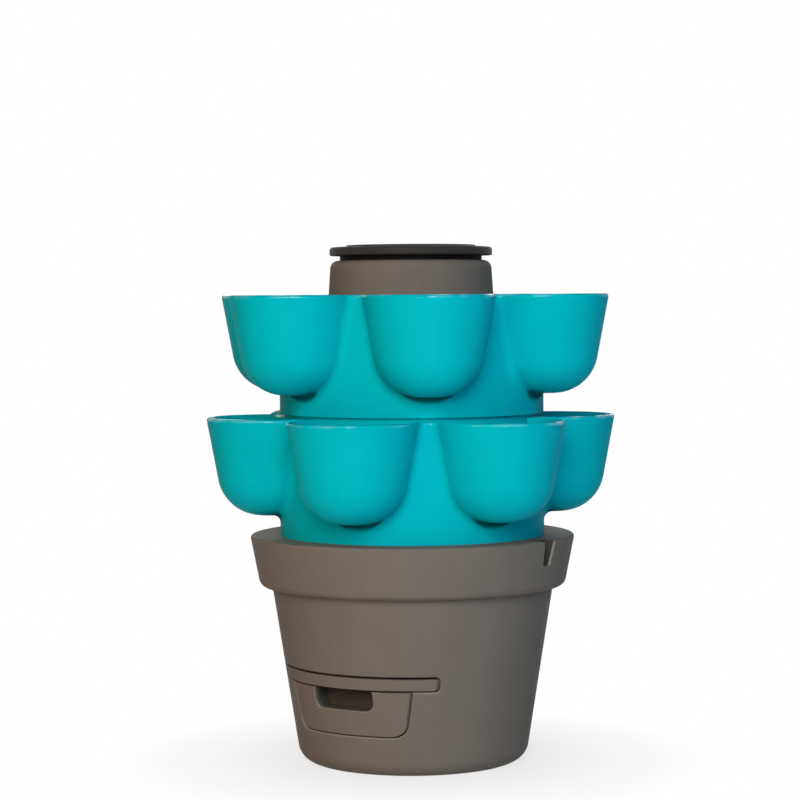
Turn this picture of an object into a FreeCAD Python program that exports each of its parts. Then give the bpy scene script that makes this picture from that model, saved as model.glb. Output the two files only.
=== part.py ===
import FreeCAD, Part
import math
import os

# A round composting planter tower in rotationally moulded polyethylene.
# Millimetres, +Z up, origin on the ground under the tower's axis, drawer facing -Y.

# Base pot
DECK_Z = 337.0                 # flat top that the first tier stands on
WALL_R_AT_GROUND = 168.2       # wall cone carried down to the ground
WALL_SLOPE = 0.1605            # growth of the wall radius per millimetre of height
BAND_BOTTOM_Z = 261.0
BAND_R_BOTTOM = 227.6
BAND_R_TOP = 242.8
BAND_ROUND = 12.0              # rounding of the band's lower edge
DECK_ROUND = 4.0               # rounding between band and deck
STEP_ROUND = 3.0               # cove between wall and band
POT_SKIN = 5.5
FOOT_CORNER = 28.0             # rounding between wall and foot
FOOT_RECESS = 8.0              # hollow of the underside inside the foot ring
FOOT_RECESS_R = 100.0
FOOT_RECESS_ROUND = 6.0
INNER_FLOOR_ROUND = 20.0
INNER_STEP_ROUND = 6.0
INNER_BAND_ROUND = 7.0
DECK_COLLAR_DEPTH = 18.0       # lip that hangs from the deck round its hole
DRAIN_HOLE_R = 4.0
DRAIN_RING_R = 76.0
DRAIN_HOLES = 4

# Thumb notches on both sides of the band
NOTCH_TOP_HALF = 14.5
NOTCH_BOTTOM_HALF = 9.5
NOTCH_BOTTOM_Z = 300.0
NOTCH_BACK_R = 223.0
NOTCH_CORNER = 5.0
NOTCH_OVERRUN = 6.0            # the notch's cut runs this far past the deck

# Tiers
TIER_RISE = 176.5              # shoulder to rim
SEAT_GAP = 5.0                 # shoulder of the upper tier above the rim below it
NECK_R = 197.5
SPIGOT_R = 190.5
SPIGOT_DEPTH = 20.0
SPIGOT_CLEARANCE = 1.5
TIER_SKIN = 5.5
TIER_INNER_ROUND = 3.0
POCKETS = 6
POCKET_CENTRE_R = 212.0
POCKET_R = 95.5
POCKET_DEPTH = 145.5
POCKET_TAPER = math.radians(10.7)
POCKET_FLOOR_CORNER = 64.5
POCKET_COVE = 13.0             # fillet where a pocket runs into the neck
LIP_ROUND_OUTSIDE = 3.8
LIP_ROUND_INSIDE = 1.2
LEDGE_DEPTH = 10.0             # inner ledge that carries the tier above
LEDGE_RAMP = 7.0
LOWER_TIER_TURN = 41.0         # degrees from +X to a pocket, lower tier
UPPER_TIER_TURN = 11.4

# Drawer front: a wide flange bar over a tapered, round-cornered tub face
BAR_TOP_Z = 144.9
BAR_BOTTOM_Z = 127.7
BAR_HALF_TOP = 135.0
BAR_HALF_BOTTOM = 131.6
BAR_CORNER = 3.5
TUB_FACE_TOP_Z = 125.6
TUB_BOTTOM_Z = 60.4
TUB_HALF_TOP = 102.6
TUB_HALF_BOTTOM = 89.5
TUB_CORNER = 21.0
TUB_WALL = 4.5
DRAWER_BACK_Y = 115.0
FACE_SETBACK = 0.6             # drawer faces lie this far behind the pot wall
FACE_ROUND = 2.0
MOUTH_GAP = 1.5
MOUTH_GAP_TOP = 3.2
MOUTH_ROUND = 2.5              # soft moulded edge round the drawer mouth
MOUTH_LIP = 10.0               # depth of the lip at the sleeve's inner end
SLEEVE_BACK_Y = -117.0
SCOOP_HALF = 50.6
SCOOP_BOTTOM_Z = 96.7
SCOOP_BACK_Y = -148.0
SCOOP_CORNER = 13.0
FLANGE_PLATE = 5.0
FLANGE_SIDE = 5.0
FLANGE_FRONT = 9.0
FLANGE_BACK = 5.0
OPENING_INSET = 1.0            # flange opening inside the tub's walls
BOSS_R = 7.5                   # screw bosses in the tub's corners
BOSS_BOTTOM_Z = 118.0
BOSS_MARGIN = 1.5
BOSS_PLACES = ((-95.0, -137.0), (95.0, -137.0), (-95.0, 104.5), (95.0, 104.5))

# Rails under the soil floor
RAIL_BLOCK_X = (120.0, 142.0)
RAIL_WEB_X = 137.5
RAIL_LEDGE_X = 107.0
RAIL_LEDGE_Z = (122.7, 127.5)
RAIL_BLOCK_Z = 146.4
RAIL_EDGE_ROUND = 1.5
RAIL_HALF_LENGTH = 108.0
RAIL_SCREW_X = 129.0
RAIL_SCREW_YS = (-82.0, 0.0, 82.0)

# Screws
SCREW_SHANK_R = 2.0
SCREW_HEAD_R = 4.0
SCREW_HEAD_EDGE = 0.8
SCREW_CROWN_R = 2.6
SCREW_HEAD_RISE = 2.6
SCREW_PILOT_R = 2.1
SCREW_PASSING_R = 2.2
RAIL_SCREW_LENGTH = 15.0
DRAWER_SCREW_LENGTH = 17.0
PILOT_DEPTH = 14.0

# Soil floor and compost column
SOIL_FLOOR_Z = 158.5
SOIL_FLOOR_THICK = 6.0
THROAT_R = 100.0
SOCKET_GAP = 0.6
SOCKET_WALL = 5.0
SOCKET_RISE = 20.0
RIBS = 8
RIB_LENGTH = 62.0
RIB_WIDTH = 4.0
RIB_RISE = 14.0
SEEP_HOLE_R = 4.0
SEEP_RING_R = 160.0
SEEP_ANGLES = (-40, -24, -8, 8, 24, 40)
GRATE_SEAT = 3.0
GRATE_THICK = 4.0
GRATE_SLOT = 19.0
GRATE_PITCH = 27.0
GRATE_RIM = 8.0
TUBE_R = 112.0
TUBE_WALL = 5.0
TUBE_JOINT_Z = 432.0
TUBE_LAP = 15.0
LAP_CLEARANCE = 0.1
HOLE_R = 4.0
HOLES_PER_ROW = 8
HOLE_ROWS = 5
HOLE_ROW_PITCH = 44.0
LOWER_TUBE_FIRST_ROW = 44.0
UPPER_TUBE_FIRST_ROW = 24.0
CAP_SHOULDER_Z = 745.8
CAP_SKIRT_Z = 655.0
CAP_R_TOP = 120.3
CAP_R_SKIRT = 125.9
CAP_SHOULDER_ROUND = 12.0
CAP_INNER_ROUND = 2.5
CAP_SKIN = 5.5
MOUTH_R = 99.5

# Lid
LID_BRIM_BOTTOM_Z = 753.0
LID_BRIM_TOP_Z = 766.0
LID_R = 122.0
LID_TOP_ROUND = 5.0
LID_EDGE_ROUND = 2.5
LID_SKIN = 5.0
LID_BRIM_WALL = 4.5
LID_CENTRE_R = 96.0
LID_CENTRE_RISE = 3.0
LID_PLUG_R = 98.6
LID_PLUG_WALL = 4.0
LID_PLUG_ROUND = 6.0
LID_PLUG_BOTTOM_Z = 724.0
SEAL_R = 106.5

ORIGIN = FreeCAD.Vector(0, 0, 0)
UP = FreeCAD.Vector(0, 0, 1)
FAR = 400.0                    # beyond every outer surface
PAST = 1.0                     # a cut runs this far past the face that it opens
SMALL_ROUND = 2.0
EDGE_BREAK = 1.0


def wall_r(z):
    """Outer radius of the pot's wall at height z."""
    return WALL_R_AT_GROUND + WALL_SLOPE * z


def band_r(z):
    """Outer radius of the rim band at height z."""
    part_way = (z - BAND_BOTTOM_Z) / (DECK_Z - BAND_BOTTOM_Z)
    return BAND_R_BOTTOM + (BAND_R_TOP - BAND_R_BOTTOM) * part_way


def outline(corners):
    """Closed wire in the XZ plane; a corner is (x, z) or (x, z, rounding radius)."""
    points = [FreeCAD.Vector(corner[0], 0, corner[1]) for corner in corners]
    turns = []
    for i, corner in enumerate(corners):
        point = points[i]
        radius = corner[2] if len(corner) > 2 else 0
        if not radius:
            turns.append((point, None, point))
            continue
        back = (points[i - 1] - point).normalize()
        ahead = (points[(i + 1) % len(points)] - point).normalize()
        half = back.getAngle(ahead) / 2
        reach = radius / math.tan(half)
        middle = (back + ahead).normalize() * (radius / math.sin(half) - radius)
        turns.append((point + back * reach, point + middle, point + ahead * reach))
    edges = []
    for i, (start, middle, end) in enumerate(turns):
        if middle is not None:
            edges.append(Part.Arc(start, middle, end).toShape())
        following = turns[(i + 1) % len(turns)][0]
        if end.distanceToPoint(following) > 1e-6:
            edges.append(Part.LineSegment(end, following).toShape())
    return Part.Wire(edges)


def spin(corners):
    """Solid of revolution of an outline about the tower's axis."""
    return Part.Face(outline(corners)).revolve(ORIGIN, UP, 360)


def run_y(corners, y_from, y_to):
    """Outline in the XZ plane carried along Y between two values."""
    face = Part.Face(outline(corners))
    face.translate(FreeCAD.Vector(0, y_from, 0))
    return face.extrude(FreeCAD.Vector(0, y_to - y_from, 0))


def ring(inner, outer, z_from, z_to):
    """Plain ring about the axis."""
    return spin([(inner, z_from), (outer, z_from), (outer, z_to), (inner, z_to)])


def post(x, y, radius, z_from, z_to):
    """Upright cylinder between two heights."""
    return Part.makeCylinder(radius, z_to - z_from, FreeCAD.Vector(x, y, z_from))


def turned(shape, degrees):
    """Copy of a shape turned about the tower's axis."""
    copy = shape.copy()
    copy.rotate(ORIGIN, UP, degrees)
    return copy


def on_ring(radius, degrees):
    """Plan position on a ring about the axis."""
    angle = math.radians(degrees)
    return radius * math.cos(angle), radius * math.sin(angle)


def edge_middle(edge):
    """Point half way along an edge."""
    return edge.valueAt((edge.FirstParameter + edge.LastParameter) / 2)


def matching(shape, wanted):
    """Edges of a changed shape whose middles are those of the wanted edges."""
    middles = [edge_middle(edge) for edge in wanted]
    found = []
    for edge in shape.Edges:
        point = edge_middle(edge)
        if any(point.distanceToPoint(middle) < 0.01 for middle in middles):
            found.append(edge)
    return found


def edges_on_wall(shape, inset, z_from, z_to):
    """Edges of a drawer front or its mouth that lie on the wall's cone, set back by inset."""
    found = []
    for edge in shape.Edges:
        box = edge.BoundBox
        if box.YMax > SLEEVE_BACK_Y / 2 or box.ZMin < z_from or box.ZMax > z_to:
            continue
        middle = edge_middle(edge)
        off_wall = math.hypot(middle.x, middle.y) - wall_r(middle.z) + inset
        if abs(off_wall) < 0.4:
            found.append(edge)
    return found


def wall_cone(inset, z_from=40.0, z_to=180.0):
    """Solid cone whose side lies inset inside the pot's outer wall."""
    low = wall_r(z_from) - inset
    high = wall_r(z_to) - inset
    return spin([(0, z_from), (low, z_from), (high, z_to), (0, z_to)])


def skin_across(skin):
    """Radial width of a skin on the wall's slope."""
    return skin * math.hypot(1, WALL_SLOPE)


def bar_outline(grow=0.0, rise=0.0):
    """Outline of the wide flange bar, grown all round by grow and at the top by rise."""
    top = BAR_HALF_TOP + grow
    low = BAR_HALF_BOTTOM + grow
    z_top = BAR_TOP_Z + rise
    z_low = BAR_BOTTOM_Z - grow
    corner = BAR_CORNER + grow
    return [(-top, z_top, corner), (top, z_top, corner), (low, z_low, corner), (-low, z_low, corner)]


def tub_outline(shrink=0.0, top_z=TUB_FACE_TOP_Z):
    """Outline of the tub, square corners at the top and round ones below."""
    slope = (TUB_HALF_TOP - TUB_HALF_BOTTOM) / (TUB_FACE_TOP_Z - TUB_BOTTOM_Z)
    top = TUB_HALF_TOP + slope * (top_z - TUB_FACE_TOP_Z) - shrink
    low = TUB_HALF_BOTTOM - shrink
    z_low = TUB_BOTTOM_Z + shrink
    corner = TUB_CORNER - shrink
    return [(-top, top_z), (top, top_z), (low, z_low, corner), (-low, z_low, corner)]


def scoop_outline(grow=0.0):
    """Outline of the hand scoop, open at the top and round-cornered below."""
    half = SCOOP_HALF + grow
    low = SCOOP_BOTTOM_Z - grow
    corner = SCOOP_CORNER + grow
    return [(-half, SOIL_FLOOR_Z), (half, SOIL_FLOOR_Z), (half, low, corner), (-half, low, corner)]


def mouth(grow, y_from, y_to):
    """The T-shaped drawer mouth: bar outline and tub outline joined."""
    bar = run_y(bar_outline(grow, MOUTH_GAP_TOP + grow - MOUTH_GAP), y_from, y_to)
    tub = run_y(tub_outline(-grow, BAR_TOP_Z), y_from, y_to)
    return bar.fuse(tub).removeSplitter()


def notch(side, grow):
    """Tapered thumb notch through the band's face and the deck, on the +X or -X side."""
    top = NOTCH_TOP_HALF + grow
    low = NOTCH_BOTTOM_HALF + grow
    z_low = NOTCH_BOTTOM_Z - grow
    above = NOTCH_OVERRUN + grow
    flare = (NOTCH_TOP_HALF - NOTCH_BOTTOM_HALF) * above / (DECK_Z - NOTCH_BOTTOM_Z)
    z_top = DECK_Z + above
    corner = NOTCH_CORNER + grow
    corners = [(-top - flare, z_top), (top + flare, z_top), (low, z_low, corner), (-low, z_low, corner)]
    cut = run_y(corners, -FAR, grow - NOTCH_BACK_R)
    return turned(cut, 90 * side)


def base_pot():
    """Pot skin with rim band, deck, foot, two notches and the moulded drawer mouth."""
    outer = spin([
        (0, FOOT_RECESS),
        (FOOT_RECESS_R, FOOT_RECESS, FOOT_RECESS_ROUND),
        (FOOT_RECESS_R + FOOT_RECESS, 0, FOOT_RECESS_ROUND),
        (WALL_R_AT_GROUND, 0, FOOT_CORNER),
        (wall_r(BAND_BOTTOM_Z), BAND_BOTTOM_Z, STEP_ROUND),
        (BAND_R_BOTTOM, BAND_BOTTOM_Z, BAND_ROUND),
        (BAND_R_TOP, DECK_Z, DECK_ROUND),
        (0, DECK_Z)])
    side = skin_across(POT_SKIN)
    floor_z = FOOT_RECESS + POT_SKIN
    step_z = BAND_BOTTOM_Z + POT_SKIN
    ceiling_z = DECK_Z - POT_SKIN
    inner = spin([
        (0, floor_z),
        (wall_r(floor_z) - side, floor_z, INNER_FLOOR_ROUND),
        (wall_r(step_z) - side, step_z, INNER_STEP_ROUND),
        (band_r(step_z) - side, step_z, INNER_BAND_ROUND),
        (band_r(ceiling_z) - side, ceiling_z, STEP_ROUND),
        (0, ceiling_z)])
    for sign in (1, -1):
        outer = outer.cut(notch(sign, 0))
        inner = inner.cut(notch(sign, POT_SKIN))
    hole_r = SPIGOT_R + SPIGOT_CLEARANCE
    collar_z = DECK_Z - DECK_COLLAR_DEPTH
    inner = inner.cut(mouth(MOUTH_GAP + POT_SKIN, -FAR, SLEEVE_BACK_Y))
    inner = inner.cut(ring(hole_r, hole_r + POT_SKIN, collar_z, DECK_Z))
    pot = outer.cut(inner)
    pot = pot.cut(post(0, 0, hole_r, collar_z - PAST, DECK_Z + PAST))
    pot = pot.cut(mouth(MOUTH_GAP, -FAR, SLEEVE_BACK_Y + MOUTH_LIP))
    for k in range(DRAIN_HOLES):
        x, y = on_ring(DRAIN_RING_R, (k + 0.5) * 360 / DRAIN_HOLES)
        pot = pot.cut(post(x, y, DRAIN_HOLE_R, 0, floor_z + PAST))
    return pot.makeFillet(MOUTH_ROUND, edges_on_wall(pot, 0, TUB_BOTTOM_Z - FOOT_RECESS, SOIL_FLOOR_Z))


def rail_screw_places():
    """Plan positions of the screws that hold the rails."""
    return [(side * RAIL_SCREW_X, y) for side in (-1, 1) for y in RAIL_SCREW_YS]


def soil_floor():
    """Perforated false floor that lies on the wall's taper and carries the column."""
    top_z = SOIL_FLOOR_Z + SOIL_FLOOR_THICK
    side = skin_across(POT_SKIN)
    plate = spin([
        (THROAT_R, SOIL_FLOOR_Z),
        (wall_r(SOIL_FLOOR_Z) - side, SOIL_FLOOR_Z),
        (wall_r(top_z) - side, top_z),
        (THROAT_R, top_z)])
    grate_seat = ring(THROAT_R, TUBE_R - TUBE_WALL - SOCKET_GAP, top_z - GRATE_SEAT, top_z)
    socket_r = TUBE_R + SOCKET_GAP
    socket = ring(socket_r, socket_r + SOCKET_WALL, top_z, top_z + SOCKET_RISE)
    plate = plate.cut(grate_seat).fuse(socket)
    corner = FreeCAD.Vector(socket_r + SOCKET_WALL / 2, -RIB_WIDTH / 2, top_z)
    rib = Part.makeBox(RIB_LENGTH, RIB_WIDTH, RIB_RISE, corner)
    for k in range(RIBS):
        plate = plate.fuse(turned(rib, (k + 0.5) * 360 / RIBS))
    for middle in (90, 270):
        for offset in SEEP_ANGLES:
            x, y = on_ring(SEEP_RING_R, middle + offset)
            plate = plate.cut(post(x, y, SEEP_HOLE_R, SOIL_FLOOR_Z - PAST, top_z + PAST))
    for x, y in rail_screw_places():
        plate = plate.cut(post(x, y, SCREW_PASSING_R, SOIL_FLOOR_Z - PAST, top_z + PAST))
    return plate.removeSplitter()


def drawer_rail(side):
    """Channel rail under the soil floor; the drawer's flange runs on its ledge."""
    low, high = RAIL_LEDGE_Z
    inner_x, outer_x = RAIL_BLOCK_X
    rail = run_y([
        (RAIL_LEDGE_X, low),
        (outer_x, low, RAIL_EDGE_ROUND),
        (outer_x, SOIL_FLOOR_Z),
        (inner_x, SOIL_FLOOR_Z),
        (inner_x, RAIL_BLOCK_Z),
        (RAIL_WEB_X, RAIL_BLOCK_Z),
        (RAIL_WEB_X, high),
        (RAIL_LEDGE_X, high)], -RAIL_HALF_LENGTH, RAIL_HALF_LENGTH)
    for y in RAIL_SCREW_YS:
        rail = rail.cut(post(RAIL_SCREW_X, y, SCREW_PILOT_R, RAIL_BLOCK_Z, SOIL_FLOOR_Z + PAST))
    return turned(rail, 180) if side < 0 else rail


def screw(x, y, head_z, length):
    """Round-headed screw pointing down, its head resting at head_z."""
    shank = post(x, y, SCREW_SHANK_R, head_z - length, head_z)
    head = spin([
        (0, 0),
        (SCREW_HEAD_R, 0),
        (SCREW_HEAD_R, SCREW_HEAD_EDGE),
        (SCREW_CROWN_R, SCREW_HEAD_RISE),
        (0, SCREW_HEAD_RISE)])
    head.translate(FreeCAD.Vector(x, y, head_z))
    return shank.fuse(head).removeSplitter()


def rail_screws():
    """Screws through the soil floor into both rails."""
    head_z = SOIL_FLOOR_Z + SOIL_FLOOR_THICK
    return Part.makeCompound([screw(x, y, head_z, RAIL_SCREW_LENGTH) for x, y in rail_screw_places()])


def column_grate():
    """Slatted disc at the foot of the column that lets finished compost drop through."""
    low = SOIL_FLOOR_Z + SOIL_FLOOR_THICK - GRATE_SEAT
    disc = post(0, 0, TUBE_R - TUBE_WALL - EDGE_BREAK, low, low + GRATE_THICK)
    reach = THROAT_R - GRATE_RIM
    slots_each_side = int(reach / GRATE_PITCH)
    for k in range(-slots_each_side, slots_each_side + 1):
        x = GRATE_PITCH * k
        half = math.sqrt(reach ** 2 - (abs(x) + GRATE_SLOT / 2) ** 2)
        corner = FreeCAD.Vector(x - GRATE_SLOT / 2, -half, low - PAST)
        disc = disc.cut(Part.makeBox(GRATE_SLOT, 2 * half, GRATE_THICK + 2 * PAST, corner))
    return disc


def perforated(tube, first_z):
    """Rows of round holes, each row turned by half a pitch from the last."""
    holes = []
    step = 360 / HOLES_PER_ROW
    for row in range(HOLE_ROWS):
        start = FreeCAD.Vector(TUBE_R - TUBE_WALL - PAST, 0, first_z + HOLE_ROW_PITCH * row)
        hole = Part.makeCylinder(HOLE_R, TUBE_WALL + 2 * PAST, start, FreeCAD.Vector(1, 0, 0))
        for k in range(HOLES_PER_ROW):
            holes.append(turned(hole, step * (k + 0.5 * (row % 2))))
    return tube.cut(Part.makeCompound(holes))


def column_lower():
    """Perforated tube from the soil floor up to the lap joint."""
    inside = TUBE_R - TUBE_WALL
    middle = TUBE_R - TUBE_WALL / 2 - LAP_CLEARANCE
    low = SOIL_FLOOR_Z + SOIL_FLOOR_THICK
    tube = spin([
        (inside, low),
        (TUBE_R, low),
        (TUBE_R, TUBE_JOINT_Z - TUBE_LAP),
        (middle, TUBE_JOINT_Z - TUBE_LAP),
        (middle, TUBE_JOINT_Z),
        (inside, TUBE_JOINT_Z)])
    return perforated(tube, low + LOWER_TUBE_FIRST_ROW)


def column_upper():
    """Perforated tube from the lap joint up to the cap."""
    inside = TUBE_R - TUBE_WALL
    middle = TUBE_R - TUBE_WALL / 2 + LAP_CLEARANCE
    high = CAP_SHOULDER_Z - CAP_SKIN
    tube = spin([
        (inside, TUBE_JOINT_Z),
        (middle, TUBE_JOINT_Z),
        (middle, TUBE_JOINT_Z - TUBE_LAP),
        (TUBE_R, TUBE_JOINT_Z - TUBE_LAP),
        (TUBE_R, high),
        (inside, high)])
    return perforated(tube, TUBE_JOINT_Z + UPPER_TUBE_FIRST_ROW)


def column_cap():
    """Tapered grey collar with a rounded shoulder and the mouth for kitchen scraps."""
    under = CAP_SHOULDER_Z - CAP_SKIN
    return spin([
        (MOUTH_R, under),
        (MOUTH_R, CAP_SHOULDER_Z, SMALL_ROUND),
        (CAP_R_TOP, CAP_SHOULDER_Z, CAP_SHOULDER_ROUND),
        (CAP_R_SKIRT, CAP_SKIRT_Z, SMALL_ROUND),
        (CAP_R_SKIRT - CAP_SKIN, CAP_SKIRT_Z, EDGE_BREAK),
        (CAP_R_TOP - CAP_SKIN, under, CAP_INNER_ROUND)])


def lid():
    """Plug lid: rounded brim with a finger groove under it, raised centre, hollow plug."""
    top = LID_BRIM_TOP_Z
    under = top - LID_SKIN
    plate = LID_BRIM_BOTTOM_Z
    inside = LID_PLUG_R - LID_PLUG_WALL
    groove_from = SEAL_R + SMALL_ROUND
    groove_to = LID_R - LID_BRIM_WALL
    return spin([
        (0, under),
        (inside, under, LID_PLUG_ROUND),
        (inside, LID_PLUG_BOTTOM_Z, EDGE_BREAK),
        (LID_PLUG_R, LID_PLUG_BOTTOM_Z, EDGE_BREAK),
        (LID_PLUG_R, plate),
        (groove_from, plate, EDGE_BREAK),
        (groove_from, under, SMALL_ROUND),
        (groove_to, under, SMALL_ROUND),
        (groove_to, plate, EDGE_BREAK),
        (LID_R, plate, LID_EDGE_ROUND),
        (LID_R, top, LID_TOP_ROUND),
        (LID_CENTRE_R + LID_CENTRE_RISE, top, SMALL_ROUND),
        (LID_CENTRE_R, top + LID_CENTRE_RISE, SMALL_ROUND),
        (0, top + LID_CENTRE_RISE)])


def lid_seal():
    """Soft ring round the plug, on which the lid stands clear of the shoulder."""
    return spin([
        (LID_PLUG_R, CAP_SHOULDER_Z),
        (SEAL_R, CAP_SHOULDER_Z, EDGE_BREAK),
        (SEAL_R, LID_BRIM_BOTTOM_Z),
        (LID_PLUG_R, LID_BRIM_BOTTOM_Z)])


def pocket(radius, depth, corner, rise=0.0):
    """Bowl of revolution hanging from the rim plane of a tier whose shoulder is at 0."""
    slope = math.tan(POCKET_TAPER)
    floor_z = TIER_RISE - depth
    bowl = spin([
        (0, floor_z),
        (radius - slope * depth, floor_z, corner),
        (radius + slope * rise, TIER_RISE + rise),
        (0, TIER_RISE + rise)])
    bowl.translate(FreeCAD.Vector(POCKET_CENTRE_R, 0, 0))
    return bowl


def tier_outside():
    """Neck and pockets of a tier as one solid, with soft coves between them."""
    bowl = pocket(POCKET_R, POCKET_DEPTH, POCKET_FLOOR_CORNER)
    bowls = [turned(bowl, k * 360 / POCKETS) for k in range(POCKETS)]
    outside = post(0, 0, NECK_R, 0, TIER_RISE).multiFuse(bowls).removeSplitter()
    coves = []
    for edge in outside.Edges:
        middle = edge_middle(edge)
        on_neck = abs(math.hypot(middle.x, middle.y) - NECK_R) < 0.5
        if on_neck and PAST < middle.z < TIER_RISE - PAST:
            coves.append(edge)
    outside = outside.makeFillet(POCKET_COVE, coves)
    return outside.fuse(post(0, 0, SPIGOT_R, -SPIGOT_DEPTH, 0))


def tier_inside():
    """Hollow of a tier: bore with the ledge for the tier above, and the pockets."""
    bore_r = NECK_R - TIER_SKIN
    spigot_bore_r = SPIGOT_R - TIER_SKIN
    ledge_z = TIER_RISE + SEAT_GAP - SPIGOT_DEPTH
    low = -SPIGOT_DEPTH - PAST
    high = TIER_RISE + SEAT_GAP
    bore = spin([
        (0, low),
        (spigot_bore_r, low),
        (spigot_bore_r, TIER_SKIN, TIER_INNER_ROUND),
        (bore_r, TIER_SKIN + TIER_INNER_ROUND, TIER_INNER_ROUND),
        (bore_r, ledge_z - LEDGE_DEPTH - LEDGE_RAMP, TIER_INNER_ROUND),
        (spigot_bore_r, ledge_z - LEDGE_DEPTH, SMALL_ROUND),
        (spigot_bore_r, ledge_z, EDGE_BREAK),
        (bore_r, ledge_z),
        (bore_r, high),
        (0, high)])
    hollow = pocket(
        POCKET_R - TIER_SKIN, POCKET_DEPTH - TIER_SKIN, POCKET_FLOOR_CORNER - TIER_SKIN, SEAT_GAP)
    return bore.multiFuse([turned(hollow, k * 360 / POCKETS) for k in range(POCKETS)])


def tier():
    """Six-pocket tier; shoulder at z = 0, spigot below it, rim at TIER_RISE."""
    shell = tier_outside().cut(tier_inside()).removeSplitter()
    centres = [on_ring(POCKET_CENTRE_R, k * 360 / POCKETS) for k in range(POCKETS)]
    outside = []
    inside = []
    for edge in shell.Edges:
        if edge.BoundBox.ZMin < TIER_RISE - 0.1:
            continue
        middle = edge_middle(edge)
        off_pocket = min(math.hypot(middle.x - x, middle.y - y) for x, y in centres)
        in_pocket = off_pocket < POCKET_R - TIER_SKIN / 2
        in_bore = math.hypot(middle.x, middle.y) < NECK_R - TIER_SKIN / 2
        if in_pocket or in_bore:
            inside.append(edge)
        else:
            outside.append(edge)
    rounded = shell.makeFillet(LIP_ROUND_OUTSIDE, outside)
    return rounded.makeFillet(LIP_ROUND_INSIDE, matching(rounded, inside))


def placed_tier(shape, shoulder_z, turn):
    """Copy of the tier turned and set with its shoulder at a height."""
    copy = turned(shape, turn)
    copy.translate(FreeCAD.Vector(0, 0, shoulder_z))
    return copy


def drawer_tub():
    """Open tub with a curved, skinned front and the hand scoop let into it."""
    plate_z = BAR_TOP_Z - FLANGE_PLATE
    front_wall_y = SCOOP_BACK_Y
    inside_y = front_wall_y + TUB_WALL
    face = run_y(tub_outline(), -FAR, DRAWER_BACK_Y).common(wall_cone(FACE_SETBACK))
    collar = run_y(tub_outline(0, plate_z), front_wall_y, DRAWER_BACK_Y)
    body = face.fuse(collar.common(wall_cone(FACE_SETBACK + FLANGE_FRONT + EDGE_BREAK)))
    scoop_box = run_y(scoop_outline(TUB_WALL), -FAR, inside_y)
    behind_face = run_y(tub_outline(TUB_WALL, SOIL_FLOOR_Z), -FAR, front_wall_y - TUB_WALL)
    behind_face = behind_face.common(wall_cone(FACE_SETBACK + TUB_WALL + EDGE_BREAK)).cut(scoop_box)
    body = body.cut(run_y(tub_outline(TUB_WALL, SOIL_FLOOR_Z), inside_y, DRAWER_BACK_Y - TUB_WALL))
    body = body.cut(behind_face).cut(run_y(scoop_outline(), -FAR, SCOOP_BACK_Y))
    for x, y in BOSS_PLACES:
        body = body.fuse(post(x, y, BOSS_R, BOSS_BOTTOM_Z, plate_z))
    for x, y in BOSS_PLACES:
        body = body.cut(post(x, y, SCREW_PILOT_R, plate_z - PILOT_DEPTH, plate_z + PAST))
    body = body.removeSplitter()
    front = edges_on_wall(body, FACE_SETBACK, TUB_BOTTOM_Z - PAST, TUB_FACE_TOP_Z + PAST)
    return body.makeFillet(FACE_ROUND, front)


def drawer_flange():
    """Wide frame over the tub: its front is the bar, its sides run in the rails."""
    plate_z = BAR_TOP_Z - FLANGE_PLATE
    frame = run_y(bar_outline(), -FAR, DRAWER_BACK_Y + FLANGE_BACK).common(wall_cone(FACE_SETBACK))
    half = BAR_HALF_BOTTOM - FLANGE_SIDE
    low = BAR_BOTTOM_Z - PAST
    under = [(-half, low), (half, low), (half, plate_z), (-half, plate_z)]
    channel = run_y(under, -FAR, DRAWER_BACK_Y + PAST / 2)
    frame = frame.cut(channel.common(wall_cone(FACE_SETBACK + FLANGE_FRONT)))
    opening_half = TUB_HALF_TOP - TUB_WALL - OPENING_INSET
    front_y = SCOOP_BACK_Y + TUB_WALL
    back_y = DRAWER_BACK_Y - TUB_WALL - OPENING_INSET
    corner = FreeCAD.Vector(-opening_half, front_y, low)
    opening = Part.makeBox(2 * opening_half, back_y - front_y, SOIL_FLOOR_Z - low, corner)
    for x, y in BOSS_PLACES:
        opening = opening.cut(post(x, y, BOSS_R + BOSS_MARGIN, low - PAST, SOIL_FLOOR_Z + PAST))
    frame = frame.cut(opening)
    for x, y in BOSS_PLACES:
        frame = frame.cut(post(x, y, SCREW_PASSING_R, plate_z - PAST, BAR_TOP_Z + PAST))
    front = edges_on_wall(frame, FACE_SETBACK, BAR_BOTTOM_Z - PAST, BAR_TOP_Z + PAST)
    return frame.makeFillet(FACE_ROUND, front)


def drawer_screws():
    """Screws through the flange into the tub's bosses."""
    return Part.makeCompound([screw(x, y, BAR_TOP_Z, DRAWER_SCREW_LENGTH) for x, y in BOSS_PLACES])


def build():
    """Every piece of the tower by its name."""
    one_tier = tier()
    return {
        "base_pot": base_pot(),
        "soil_floor": soil_floor(),
        "drawer_rail_left": drawer_rail(-1),
        "drawer_rail_right": drawer_rail(1),
        "rail_screws": rail_screws(),
        "column_grate": column_grate(),
        "column_lower": column_lower(),
        "column_upper": column_upper(),
        "column_cap": column_cap(),
        "lower_tier": placed_tier(one_tier, DECK_Z, LOWER_TIER_TURN),
        "upper_tier": placed_tier(one_tier, DECK_Z + TIER_RISE + SEAT_GAP, UPPER_TIER_TURN),
        "drawer_tub": drawer_tub(),
        "drawer_flange": drawer_flange(),
        "drawer_screws": drawer_screws(),
        "lid": lid(),
        "lid_seal": lid_seal(),
    }


os.makedirs("parts", exist_ok=True)
for name, shape in build().items():
    shape.exportStep("parts/" + name + ".step")
    state = "valid" if shape.isValid() else "INVALID"
    print(name, state, len(shape.Solids), "solids", len(shape.Faces), "faces", "%.3f litres" % (shape.Volume / 1e6))
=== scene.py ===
import math

import bpy
from mathutils import Matrix, Vector


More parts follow.
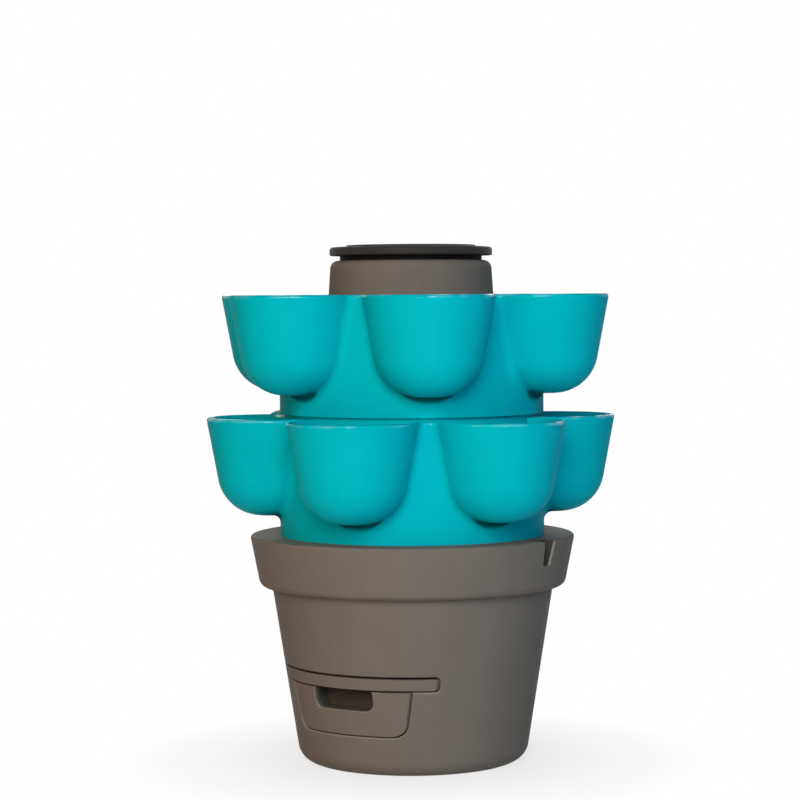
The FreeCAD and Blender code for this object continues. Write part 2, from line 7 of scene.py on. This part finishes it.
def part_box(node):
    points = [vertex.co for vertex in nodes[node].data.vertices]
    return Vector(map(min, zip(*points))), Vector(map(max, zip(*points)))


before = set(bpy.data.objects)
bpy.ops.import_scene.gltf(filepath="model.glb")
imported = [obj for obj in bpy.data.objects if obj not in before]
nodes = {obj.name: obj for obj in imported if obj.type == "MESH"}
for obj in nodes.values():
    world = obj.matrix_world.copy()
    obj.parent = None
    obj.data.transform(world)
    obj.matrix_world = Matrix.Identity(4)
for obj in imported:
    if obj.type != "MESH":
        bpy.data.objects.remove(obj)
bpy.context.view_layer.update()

# A composting planter tower: dressed in moulded polyethylene, metres, +Z up.

# Camera, from the photograph's framing
VIEW_AZIMUTH = math.radians(34.5)
CAMERA_HEIGHT = 0.697
CAMERA_DISTANCE = 3.88
CAMERA_REACH = 100.0
FOCAL_PIXELS = 2587.0
IMAGE_PIXELS = 800.0
SENSOR_MM = 36.0
HORIZON_ROW = 293.0            # picture row of the eye level
AXIS_COLUMN = 411.0            # picture column of the tower's axis at eye level
ROLL = math.radians(-0.33)

# Ambient light and lamps
AMBIENT = 0.04
NEUTRAL = (1.0, 1.0, 1.0)
KEY_WHITE = (1.0, 1.0, 0.90)
WARM = (1.0, 0.30, 0.05)
COOL = (0.15, 0.42, 1.0)
LAMP_DISTANCE = 3.6
LAMP_TARGET_Z = 0.4
# Of each lamp: azimuth from the view's and elevation in degrees, size in metres, watts, colour
LAMPS = {
    "key": (-4, 20, 1.8, 80, KEY_WHITE),
    "warm_left": (-38, 15, 1.4, 24, WARM),
    "cool_right": (28, 20, 2.2, 20, COOL),
    "behind": (180, 20, 2.2, 26, NEUTRAL)}

# Floor
FLOOR_HALF = 30.0
FLOOR_TONE = (0.9, 0.9, 0.9, 1.0)
FLOOR_PLAIN = 0.75             # share of plain white right under the tower
FLOOR_FADE = (0.18, 0.45)      # radii between which that share grows to 1

# Colours
WHITE = (1.0, 1.0, 1.0, 1.0)
TEAL = (0.0, 0.50, 0.59, 1.0)
TEAL_GLOSS = (0.25, 0.9, 1.0, 1.0)
GREY = (0.184, 0.170, 0.148, 1.0)
CHARCOAL = (0.036, 0.034, 0.031, 1.0)
BLACK = (0.008, 0.008, 0.008, 1.0)
GRATE_BLACK = (0.012, 0.012, 0.012, 1.0)
STEEL = (0.42, 0.42, 0.41, 1.0)

# What the values of the skins below say
# A noise: cells per metre, detail, roughness of the noise
# A stretch: factors along X, Y and Z, which press the noise's cells together where over 1
# A shade, laid over the tone where a noise is high: the noise's values where the shade starts
# and is full, its strength there, its factor on the tone and, in some, what it adds to it
# A skin's roughness: where its noise is low, and where it is high
# A depth or a wave: metres
LOW_TO_HIGH = (0.3, 0.7)       # values at which a noise is low and high

# Moulded plastic of the tiers, pot, cap, drawer and soil floor
CLOUDS = (9.0, 3.0, 0.55)
CLOUD_SHADE = (0.35, 0.65, 1.0, 1.0)
BETWEEN_CLOUDS = 0.95          # factor on the tone
PATCHES = (38.0, 3.0, 0.6)
PATCH_SHADE = (0.5, 0.8, 0.5, 1.07)
PATCH_RANGE = (0.3, 0.75)
SPECKS = (900.0, 1.0, 0.5)
SPECK_SHADE = (0.66, 0.74, 0.3, 0.75)
WAVES = (14.0, 1.0, 0.4)
TIER_WAVE = 0.0008
POT_WAVE = 0.0006
INNER_WAVE = 0.0003            # of the drawer and the soil floor
PEBBLES = (700.0, 2.0, 0.6)
PEBBLE_DEPTH = 0.00003
TIER_ROUGHNESS = (0.52, 0.62)
POT_ROUGHNESS = (0.59, 0.69)
INNER_ROUGHNESS = (0.57, 0.67)
MOULDED_SPECULAR = 0.035

# Scuffs on the moulded plastic
SCRATCHES = (95.0, 1.0, 0.4)
SCRATCH_STRETCH = (1, 1, 5)
SCRATCH_TURN = (0.5, 0.3, 0.9)         # radians, so that the scratches lie aslant
SCRATCH_SHOWS = (0.70, 0.76)
SCRATCHED_SPOTS = (11.0, 1.0, 0.5)
SPOT_SHOWS = (0.68, 0.72)
SCUFF_TONE = (1.5, 0.06)               # factor on the tone, and what is added to it
POT_SCUFFS = 0.6
INNER_SCUFFS = 0.3

# Polish on a tier's lip
STREAKS = (26.0, 2.0, 0.5)
STREAK_SHOWS = (0.46, 0.57)
STREAK_STRENGTH = (0.03, 1.0)
POLISH_GROWS = (0.0055, 0.0035)        # metres below the rim
LIP_ROUGHNESS = 0.12

# Lid and grate
GRAIN = (1500.0, 2.0, 0.6)
GRAIN_SHADE = (0.55, 0.8, 0.35, 1.35)
GRAIN_DEPTH = 0.00004
LID_DUST = (30.0, 4.0, 0.65)
LID_DUST_SHADE = (0.4, 0.75, 1.0, 1.2)
BETWEEN_DUST = 0.92            # factor on the tone
LID_WAVE = 0.0002
LID_ROUGHNESS = (0.46, 0.58)
GRAINED_SPECULAR = 0.08

# Seal
FLOW_MARKS = (60.0, 2.0, 0.5)
FLOW_STRETCH = (1, 1, 12)
FLOW_DEPTH = 0.00015
RUBBER_DUST = (240.0, 3.0, 0.6)
RUBBER_DUST_SHADE = (0.55, 0.85, 0.5, 1.6, 0.004)
RUBBER_ROUGHNESS = (0.62, 0.78)
RUBBER_SPECULAR = 0.06

# Tubes and rails
DIE_LINES = (420.0, 2.0, 0.5)
DIE_LINE_SHADE = (0.6, 0.8, 0.4, 0.7)
DIE_LINE_DEPTH = 0.00006
UPRIGHT_STRETCH = (1, 1, 0.03)
LEVEL_STRETCH = (1, 0.03, 1)
TUBE_PATCHES = (30.0, 3.0, 0.6)
TUBE_PATCH_SHADE = (0.35, 0.7, 1.0, 1.3, 0.002)
TUBE_ROUGHNESS = (0.38, 0.50)
TUBE_SPECULAR = 0.3

# Screws
TOOL_MARKS = (1800.0, 2.0, 0.5)
TOOL_MARK_STRETCH = (1, 1, 9)
TOOL_MARK_DEPTH = 0.00002
DULL_SPOTS = (500.0, 2.0, 0.6)
DULL_SPOT_SHADE = (0.45, 0.75, 1.0, 0.75)
DULL_SPOT_RANGE = (0.4, 0.7)
STEEL_ROUGHNESS = (0.24, 0.42)
STEEL_SPECULAR = 0.5

# Places and sizes on the tower, in metres
# Cones of the pot's faces: radius carried down to the ground, growth per metre of height
WALL = (0.1682, 0.1605)
BAND = (0.1754, 0.2000)
DECK_Z = 0.337
NOTCH_BOTTOM_Z = 0.300
NOTCH_TOP_HALF = 0.0145
NOTCH_BOTTOM_HALF = 0.0095
NOTCH_BACK_R = 0.223
# Hollows behind the wall: level, half height, half width, depth
MOUTH = (0.105, 0.055, 0.150, 0.100)
SCOOP = (0.111, 0.014, 0.052, 0.041)
LOWER_RIM_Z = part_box("lower_tier")[1].z
UPPER_RIM_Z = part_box("upper_tier")[1].z
LOWER_TIER_TURN = math.radians(41.0)
UPPER_TIER_TURN = math.radians(11.4)
POCKETS = 6
NECK_RADIUS = 0.1975
POCKET_DEPTH = 0.1455
POCKET_FLAT_HALF = 0.010       # half width of the flat part of a pocket's floor
POCKET_FLOOR_CORNER = 0.0645
CREASE_HALF = 0.046            # half width of the shaded crescent under a pocket
CREASE_DEPTH = 0.013           # depth of the crescent in its middle
CREASE_TIP = 0.0005            # depth of the crescent at its tips

# Marks of painted shade and painted highlight: ranges over which they grow or end, in metres
SOFT_EDGE = 0.002
FINE_EDGE = 0.001
HOLLOW_GROWS = (0.003, 0.012)          # behind the wall
EDGE_HIGHLIGHT_GROWS = (0.0002, 0.0008)          # behind the wall
EDGE_HIGHLIGHT_ENDS = (0.0018, 0.0028)           # behind the wall
NOTCH_SHADE_GROWS = (0.0030, 0.0045)   # behind the band
NOTCH_SHADE_ENDS = (0.0004, 0.0012)    # beside the notch
NOTCH_LINE_GROWS = (-0.0016, -0.0008)  # beside the notch
NOTCH_LINE_ENDS = (0.0002, 0.0006)     # beside the notch
NOTCH_LINE_DEEPEST = (0.0025, 0.0035)  # behind the band

# Range of the normal's Z part over which the painted highlight on an edge grows
FACING_UP = (0.05, 0.4)

# Marks of painted shade and painted highlight: strength, and factor on the plastic's own tone
CREASE_SHADOW_MARK = (0.85, 0.1)
HOLLOW_SHADE_MARK = (0.7, 0.1)
EDGE_HIGHLIGHT_MARK = (1.0, 1.6)
NOTCH_HIGHLIGHT_MARK = (1.0, 1.8)


def look(location, target, roll=0.0):
    """Matrix of a camera or lamp at a place, its -Z axis on a target."""
    back = (location - target).normalized()
    right = Vector((0, 0, 1)).cross(back).normalized()
    up = back.cross(right)
    turn = Matrix((right, up, back)).transposed() @ Matrix.Rotation(roll, 3, "Z")
    return Matrix.Translation(location) @ turn.to_4x4()


def make_camera():
    """Camera at the photograph's distance, height, angle and roll, shifted to its framing."""
    half = IMAGE_PIXELS / 2
    eye_level = Vector((0, 0, CAMERA_HEIGHT))
    away = Vector((math.sin(VIEW_AZIMUTH), -math.cos(VIEW_AZIMUTH), 0))
    location = eye_level + away * CAMERA_DISTANCE
    data = bpy.data.cameras.new("camera")
    data.sensor_width = SENSOR_MM
    data.lens = FOCAL_PIXELS / IMAGE_PIXELS * SENSOR_MM
    data.shift_x = (half - AXIS_COLUMN) / IMAGE_PIXELS
    data.shift_y = (HORIZON_ROW - half) / IMAGE_PIXELS
    data.clip_end = CAMERA_REACH
    camera = bpy.data.objects.new("camera", data)
    camera.matrix_world = look(location, eye_level, ROLL)
    bpy.context.scene.collection.objects.link(camera)
    bpy.context.scene.camera = camera


def make_lamp(name, azimuth, elevation, size, watts, tone):
    """Large square lamp that looks at the tower's middle."""
    angle = VIEW_AZIMUTH + math.radians(azimuth)
    rise = math.radians(elevation)
    target = Vector((0, 0, LAMP_TARGET_Z))
    level = Vector((math.sin(angle), -math.cos(angle), 0)) * math.cos(rise)
    away = level + Vector((0, 0, math.sin(rise)))
    data = bpy.data.lights.new(name, "AREA")
    data.shape = "SQUARE"
    data.size = size
    data.energy = watts
    data.color = tone
    light = bpy.data.objects.new(name, data)
    light.matrix_world = look(target + away * LAMP_DISTANCE, target)
    bpy.context.scene.collection.objects.link(light)


def node(tree, kind, inputs=None, **settings):
    """One shader node; an input is a plain value or another node's output."""
    made = tree.nodes.new("ShaderNode" + kind)
    for key, value in settings.items():
        setattr(made, key, value)
    for key, value in (inputs or {}).items():
        if isinstance(value, bpy.types.NodeSocket):
            tree.links.new(value, made.inputs[key])
        else:
            made.inputs[key].default_value = value
    return made


def maths(tree, operation, first, second=0.0):
    """Result of one sum on two numbers or sockets."""
    return node(tree, "Math", {0: first, 1: second}, operation=operation).outputs[0]


def product(tree, first, *others):
    """Numbers or sockets multiplied with each other."""
    for other in others:
        first = maths(tree, "MULTIPLY", first, other)
    return first


def spread(tree, value, low, high, to_low=0.0, to_high=1.0):
    """Value carried from one range to another and held at its ends."""
    ends = {"Value": value, "From Min": low, "From Max": high, "To Min": to_low, "To Max": to_high}
    return node(tree, "MapRange", ends).outputs["Result"]


def fade(tree, value, low, high):
    """1 up to a low value, 0 from a high value on."""
    return spread(tree, value, low, high, 1.0, 0.0)


def blend(tree, factor, first, second):
    """Colour between two colours, which go into sockets 6 and 7 and come out of socket 2."""
    return node(tree, "Mix", {0: factor, 6: first, 7: second}, data_type="RGBA").outputs[2]


def place(tree, stretch=(1, 1, 1), turn=(0, 0, 0)):
    """Position on the object in metres, stretched and turned."""
    here = node(tree, "TexCoord").outputs["Object"]
    mapping = {"Vector": here, "Rotation": turn, "Scale": stretch}
    return node(tree, "Mapping", mapping).outputs["Vector"]


def parts_of(tree, vector):
    """The X, Y and Z parts of a vector."""
    return node(tree, "SeparateXYZ", {"Vector": vector}).outputs


def noise(tree, where, scale, detail, roughness):
    """Smooth noise from 0 to 1; the scale is in cells per metre."""
    inputs = {"Vector": where, "Scale": scale, "Detail": detail, "Roughness": roughness}
    return node(tree, "TexNoise", inputs).outputs["Fac"]


def scaled(tone, factor, lift=0.0):
    """Lighter or darker version of a colour."""
    return tuple(min(1.0, part * factor + lift) for part in tone[:3]) + (1.0,)


def shaded(tree, base, tone, value, start, full, strength, factor, lift=0.0):
    """Colour with a shade of the tone laid over it where a noise's value is high."""
    share = spread(tree, value, start, full, 0.0, strength)
    return blend(tree, share, base, scaled(tone, factor, lift))


def new_material(name):
    """Empty material with a Principled shader; returns it, its tree and the shader."""
    material = bpy.data.materials.new(name)
    material.use_nodes = True
    tree = material.node_tree
    tree.nodes.clear()
    shader = node(tree, "BsdfPrincipled")
    node(tree, "OutputMaterial", {"Surface": shader.outputs["BSDF"]})
    return material, tree, shader


def relief(tree, shader, layers):
    """Bumps laid on each other; a layer is a height socket and its depth in metres."""
    normal = None
    for height, depth in layers:
        inputs = {"Height": height, "Distance": depth, "Strength": 1.0}
        if normal is not None:
            inputs["Normal"] = normal
        normal = node(tree, "Bump", inputs).outputs["Normal"]
    tree.links.new(normal, shader.inputs["Normal"])


def skin(tree, shader, tone, roughness, specular, layers):
    """Gives a shader its varying colour and roughness, its specular level and its relief."""
    tree.links.new(tone, shader.inputs["Base Color"])
    tree.links.new(roughness, shader.inputs["Roughness"])
    shader.inputs["Specular IOR Level"].default_value = specular
    relief(tree, shader, layers)


def scuffs(tree, here, amount):
    """Strength of a few short light scuffs, thinly strewn over a surface."""
    scratches = noise(tree, place(tree, SCRATCH_STRETCH, SCRATCH_TURN), *SCRATCHES)
    spots = noise(tree, here, *SCRATCHED_SPOTS)
    thin = spread(tree, scratches, *SCRATCH_SHOWS)
    rare = spread(tree, spots, *SPOT_SHOWS)
    return product(tree, thin, rare, amount)


def behind(tree, here, cone):
    """How far a place lies behind a tapering face of the pot."""
    ground_radius, slope = cone
    parts = parts_of(tree, here)
    across = node(tree, "CombineXYZ", {"X": parts["X"], "Y": parts["Y"]}).outputs[0]
    reach = node(tree, "VectorMath", {0: across}, operation="LENGTH").outputs["Value"]
    face = maths(tree, "ADD", maths(tree, "MULTIPLY", parts["Z"], slope), ground_radius)
    return maths(tree, "SUBTRACT", face, reach)


def within(tree, here, hollow):
    """1 within the width and height of a hollow, 0 outside."""
    level, half_height, half_width = hollow[:3]
    parts = parts_of(tree, here)
    aside = maths(tree, "ABSOLUTE", parts["X"])
    off_level = maths(tree, "ABSOLUTE", maths(tree, "SUBTRACT", parts["Z"], level))
    in_width = fade(tree, aside, half_width, half_width + SOFT_EDGE)
    in_height = fade(tree, off_level, half_height, half_height + SOFT_EDGE)
    return product(tree, in_width, in_height)


def painted_recess_shade(tree, here, hollow):
    """Painted shade: 1 inside a hollow behind the pot's outer wall, 0 on the wall's face and beyond
    the hollow.
    """
    depth = hollow[3]
    inward = behind(tree, here, WALL)
    past_face = spread(tree, inward, *HOLLOW_GROWS)
    before_back = fade(tree, inward, depth, depth + FINE_EDGE)
    return product(tree, past_face, before_back, within(tree, here, hollow))


def painted_edge_highlight(tree, here, hollow):
    """Painted highlight: 1 on a hollow's rounded edge where it faces up, 0 elsewhere."""
    inward = behind(tree, here, WALL)
    past_face = spread(tree, inward, *EDGE_HIGHLIGHT_GROWS)
    before_inside = fade(tree, inward, *EDGE_HIGHLIGHT_ENDS)
    upward = parts_of(tree, node(tree, "NewGeometry").outputs["Normal"])["Z"]
    facing = spread(tree, upward, *FACING_UP)
    return product(tree, past_face, before_inside, facing, within(tree, here, hollow))


def painted_crease_shadow(tree, here, rim_z, turn):
    """Painted shadow: 1 in the corner right under each pocket, in the shape of a crescent, 0
    elsewhere.
    """
    parts = parts_of(tree, here)
    angle = maths(tree, "SUBTRACT", maths(tree, "ARCTAN2", parts["Y"], parts["X"]), turn)
    aside = maths(tree, "MULTIPLY", maths(tree, "PINGPONG", angle, math.pi / POCKETS), NECK_RADIUS)
    # The corner lies level under the flat of the floor and rises beside it with the floor's round
    beyond_flat = maths(tree, "MAXIMUM", maths(tree, "SUBTRACT", aside, POCKET_FLAT_HALF), 0.0)
    squared = maths(tree, "POWER", beyond_flat, 2.0)
    rise = maths(tree, "MULTIPLY", squared, 0.5 / POCKET_FLOOR_CORNER)
    corner = maths(tree, "ADD", rise, rim_z - POCKET_DEPTH)
    below = maths(tree, "SUBTRACT", corner, parts["Z"])
    # The painted shadow thins and pales towards its tips
    off_middle = maths(tree, "POWER", maths(tree, "DIVIDE", aside, CREASE_HALF), 2.0)
    deep = spread(tree, off_middle, 0.0, 1.0, CREASE_DEPTH, CREASE_TIP)
    lower_edge = fade(tree, below, maths(tree, "MULTIPLY", deep, 0.5), deep)
    upper_edge = spread(tree, below, -FINE_EDGE, FINE_EDGE)
    before_tips = fade(tree, off_middle, 0.5, 1.0)
    return product(tree, lower_edge, upper_edge, before_tips)


def notch_side(tree, here):
    """How far a place lies beside the thumb notch's tapering mouth; negative inside the mouth."""
    parts = parts_of(tree, here)
    half = spread(tree, parts["Z"], NOTCH_BOTTOM_Z, DECK_Z, NOTCH_BOTTOM_HALF, NOTCH_TOP_HALF)
    return maths(tree, "SUBTRACT", maths(tree, "ABSOLUTE", parts["Y"]), half)


def at_notch(tree, here):
    """1 at the height and on the side of a thumb notch, 0 elsewhere."""
    parts = parts_of(tree, here)
    sideways = maths(tree, "ABSOLUTE", parts["X"])
    outside = spread(tree, sideways, NOTCH_BACK_R - 2 * SOFT_EDGE, NOTCH_BACK_R - SOFT_EDGE)
    above = spread(tree, parts["Z"], NOTCH_BOTTOM_Z - FINE_EDGE, NOTCH_BOTTOM_Z + FINE_EDGE)
    return product(tree, outside, above)


def notch_floor_shade(tree, here):
    """Painted shade: 1 on the floor and walls of a thumb notch, 0 on its outer edge and elsewhere.
    """
    inside = fade(tree, notch_side(tree, here), *NOTCH_SHADE_ENDS)
    deep = spread(tree, behind(tree, here, BAND), *NOTCH_SHADE_GROWS)
    return product(tree, inside, deep, at_notch(tree, here))


def notch_edge_highlight(tree, here):
    """Painted highlight: 1 on the outer edge of a thumb notch's walls, 0 elsewhere."""
    side = notch_side(tree, here)
    past_mouth = spread(tree, side, *NOTCH_LINE_GROWS)
    before_band = fade(tree, side, *NOTCH_LINE_ENDS)
    outer = fade(tree, behind(tree, here, BAND), *NOTCH_LINE_DEEPEST)
    return product(tree, past_mouth, before_band, outer, at_notch(tree, here))


def polish_lip(tree, shader, here, rim_z):
    """Polish on a tier's lip, broken into streaks."""
    start, full = POLISH_GROWS
    polished = spread(tree, parts_of(tree, here)["Z"], rim_z - start, rim_z - full)
    streaks = spread(tree, noise(tree, here, *STREAKS), *STREAK_SHOWS, *STREAK_STRENGTH)
    tree.links.new(product(tree, polished, streaks), shader.inputs["Coat Weight"])
    shader.inputs["Coat Roughness"].default_value = LIP_ROUGHNESS


def moulded(name, tone, roughness, wave, scuffed=0.0, marks=(), tint=WHITE, rim_z=None):
    """Rotationally moulded polyethylene: cloudy colour, pigment specks, pebbled skin, slow waves."""
    material, tree, shader = new_material(name)
    here = place(tree)
    clouds = noise(tree, here, *CLOUDS)
    patches = noise(tree, here, *PATCHES)
    specks = noise(tree, here, *SPECKS)
    waves = noise(tree, here, *WAVES)
    pebbles = noise(tree, here, *PEBBLES)
    base = shaded(tree, scaled(tone, BETWEEN_CLOUDS), tone, clouds, *CLOUD_SHADE)
    base = shaded(tree, base, tone, patches, *PATCH_SHADE)
    base = shaded(tree, base, tone, specks, *SPECK_SHADE)
    base = blend(tree, scuffs(tree, here, scuffed), base, scaled(tone, *SCUFF_TONE))
    # The marks lay painted shade and painted highlights over the colour
    for mark, where, (strength, factor) in marks:
        mask = product(tree, mark(tree, here, *where), strength)
        base = blend(tree, mask, base, scaled(tone, factor))
    dull = spread(tree, patches, *PATCH_RANGE, *roughness)
    layers = [(waves, wave), (pebbles, PEBBLE_DEPTH)]
    skin(tree, shader, base, dull, MOULDED_SPECULAR, layers)
    shader.inputs["Specular Tint"].default_value = tint
    if rim_z is not None:
        polish_lip(tree, shader, here, rim_z)
    return material


def grained(name, tone):
    """Injection-moulded plastic: even colour with a fine etched grain and faint dust."""
    material, tree, shader = new_material(name)
    here = place(tree)
    grain = noise(tree, here, *GRAIN)
    dust = noise(tree, here, *LID_DUST)
    base = shaded(tree, scaled(tone, BETWEEN_DUST), tone, dust, *LID_DUST_SHADE)
    base = shaded(tree, base, tone, grain, *GRAIN_SHADE)
    dull = spread(tree, dust, *LOW_TO_HIGH, *LID_ROUGHNESS)
    layers = [(dust, LID_WAVE), (grain, GRAIN_DEPTH)]
    skin(tree, shader, base, dull, GRAINED_SPECULAR, layers)
    return material


def rubber(name, tone):
    """Soft black sealing ring: matt, with fine flow marks and a little dust."""
    material, tree, shader = new_material(name)
    flow = noise(tree, place(tree, FLOW_STRETCH), *FLOW_MARKS)
    dust = noise(tree, place(tree), *RUBBER_DUST)
    base = shaded(tree, tone, tone, dust, *RUBBER_DUST_SHADE)
    dull = spread(tree, flow, *LOW_TO_HIGH, *RUBBER_ROUGHNESS)
    skin(tree, shader, base, dull, RUBBER_SPECULAR, [(flow, FLOW_DEPTH)])
    return material


def extruded(name, tone, stretch):
    """Extruded plastic: fine die lines along its length and slightly varying gloss."""
    material, tree, shader = new_material(name)
    lines = noise(tree, place(tree, stretch), *DIE_LINES)
    patches = noise(tree, place(tree), *TUBE_PATCHES)
    base = shaded(tree, tone, tone, patches, *TUBE_PATCH_SHADE)
    base = shaded(tree, base, tone, lines, *DIE_LINE_SHADE)
    dull = spread(tree, lines, *LOW_TO_HIGH, *TUBE_ROUGHNESS)
    skin(tree, shader, base, dull, TUBE_SPECULAR, [(lines, DIE_LINE_DEPTH)])
    return material


def steel(name, tone):
    """Turned stainless steel of the screws, with fine tool marks and dull spots."""
    material, tree, shader = new_material(name)
    marks = noise(tree, place(tree, TOOL_MARK_STRETCH), *TOOL_MARKS)
    spots = noise(tree, place(tree), *DULL_SPOTS)
    base = shaded(tree, tone, tone, spots, *DULL_SPOT_SHADE)
    dull = spread(tree, spots, *DULL_SPOT_RANGE, *STEEL_ROUGHNESS)
    skin(tree, shader, base, dull, STEEL_SPECULAR, [(marks, TOOL_MARK_DEPTH)])
    shader.inputs["Metallic"].default_value = 1.0
    return material


def dress(names, material):
    """Gives nodes their material."""
    for name in names:
        slots = nodes[name].data.materials
        slots.clear()
        slots.append(material)


def is_seen(tree):
    """1 where a surface is looked at, mirrored or seen through, 0 where it only gives light."""
    path = node(tree, "LightPath").outputs
    looked_at = maths(tree, "MAXIMUM", path["Is Camera Ray"], path["Is Glossy Ray"])
    return maths(tree, "MAXIMUM", looked_at, path["Is Transmission Ray"])


def make_floor():
    """White floor that keeps the tower's shadow and fades to plain white around it."""
    half = FLOOR_HALF
    corners = [(-half, -half, 0), (half, -half, 0), (half, half, 0), (-half, half, 0)]
    mesh = bpy.data.meshes.new("floor")
    mesh.from_pydata(corners, [], [(0, 1, 2, 3)])
    floor = bpy.data.objects.new("floor", mesh)
    bpy.context.scene.collection.objects.link(floor)
    material = bpy.data.materials.new("floor")
    material.use_nodes = True
    tree = material.node_tree
    tree.nodes.clear()
    here = node(tree, "NewGeometry").outputs["Position"]
    reach = node(tree, "VectorMath", {0: here}, operation="LENGTH").outputs["Value"]
    plain = spread(tree, reach, *FLOOR_FADE, FLOOR_PLAIN, 1.0)
    share = product(tree, is_seen(tree), plain)
    matt = node(tree, "BsdfDiffuse", {"Color": FLOOR_TONE})
    white = node(tree, "Emission", {"Color": WHITE, "Strength": 1.0})
    both = node(tree, "MixShader", {0: share, 1: matt.outputs[0], 2: white.outputs[0]})
    node(tree, "OutputMaterial", {"Surface": both.outputs[0]})
    mesh.materials.append(material)


def make_world():
    """Even soft light all round, seen as plain white."""
    world = bpy.data.worlds.new("studio")
    bpy.context.scene.world = world
    world.use_nodes = True
    tree = world.node_tree
    tree.nodes.clear()
    soft = node(tree, "Background", {"Color": WHITE, "Strength": AMBIENT})
    white = node(tree, "Background", {"Color": WHITE, "Strength": 1.0})
    both = node(tree, "MixShader", {0: is_seen(tree), 1: soft.outputs[0], 2: white.outputs[0]})
    node(tree, "OutputWorld", {"Surface": both.outputs[0]})


# Camera, floor and light
make_camera()
make_floor()
make_world()
for lamp_name, lamp_settings in LAMPS.items():
    make_lamp(lamp_name, *lamp_settings)
bpy.context.scene.view_settings.view_transform = "Standard"

# Tiers
for tier, rim_z, turn in (("lower", LOWER_RIM_Z, LOWER_TIER_TURN),
                          ("upper", UPPER_RIM_Z, UPPER_TIER_TURN)):
    # Painted shadow in the crescent under each pocket
    tier_painted_shadow = [(painted_crease_shadow, (rim_z, turn), CREASE_SHADOW_MARK)]
    tier_plastic = moulded("tier_plastic_" + tier, TEAL, TIER_ROUGHNESS, TIER_WAVE,
                           marks=tier_painted_shadow, tint=TEAL_GLOSS, rim_z=rim_z)
    dress([tier + "_tier"], tier_plastic)

# Pot, cap, drawer and soil floor
# Painted shade in the drawer's mouth and the thumb notches, painted highlights on their edges
pot_painted_light = [
    (painted_recess_shade, (MOUTH,), HOLLOW_SHADE_MARK),
    (painted_edge_highlight, (MOUTH,), EDGE_HIGHLIGHT_MARK),
    (notch_floor_shade, (), HOLLOW_SHADE_MARK),
    (notch_edge_highlight, (), NOTCH_HIGHLIGHT_MARK)]
# Painted shade in the scoop, painted highlight on its upward-facing edge
drawer_painted_light = [
    (painted_recess_shade, (SCOOP,), HOLLOW_SHADE_MARK),
    (painted_edge_highlight, (SCOOP,), EDGE_HIGHLIGHT_MARK)]
dress(["base_pot"],
      moulded("pot_plastic", GREY, POT_ROUGHNESS, POT_WAVE, POT_SCUFFS, pot_painted_light))
dress(["column_cap"],
      moulded("cap_plastic", GREY, POT_ROUGHNESS, POT_WAVE, POT_SCUFFS))
dress(["drawer_tub", "drawer_flange"],
      moulded("drawer_plastic", GREY, INNER_ROUGHNESS, INNER_WAVE, POT_SCUFFS, drawer_painted_light))
dress(["soil_floor"],
      moulded("inner_plastic", GREY, INNER_ROUGHNESS, INNER_WAVE, INNER_SCUFFS))

# Lid, column, rails and screws
dress(["lid"], grained("lid_plastic", CHARCOAL))
dress(["lid_seal"], rubber("seal_rubber", BLACK))
dress(["column_lower", "column_upper"], extruded("tube_plastic", BLACK, UPRIGHT_STRETCH))
dress(["drawer_rail_left", "drawer_rail_right"], extruded("rail_plastic", BLACK, LEVEL_STRETCH))
dress(["column_grate"], grained("grate_plastic", GRATE_BLACK))
dress(["rail_screws", "drawer_screws"], steel("screw_steel", STEEL))
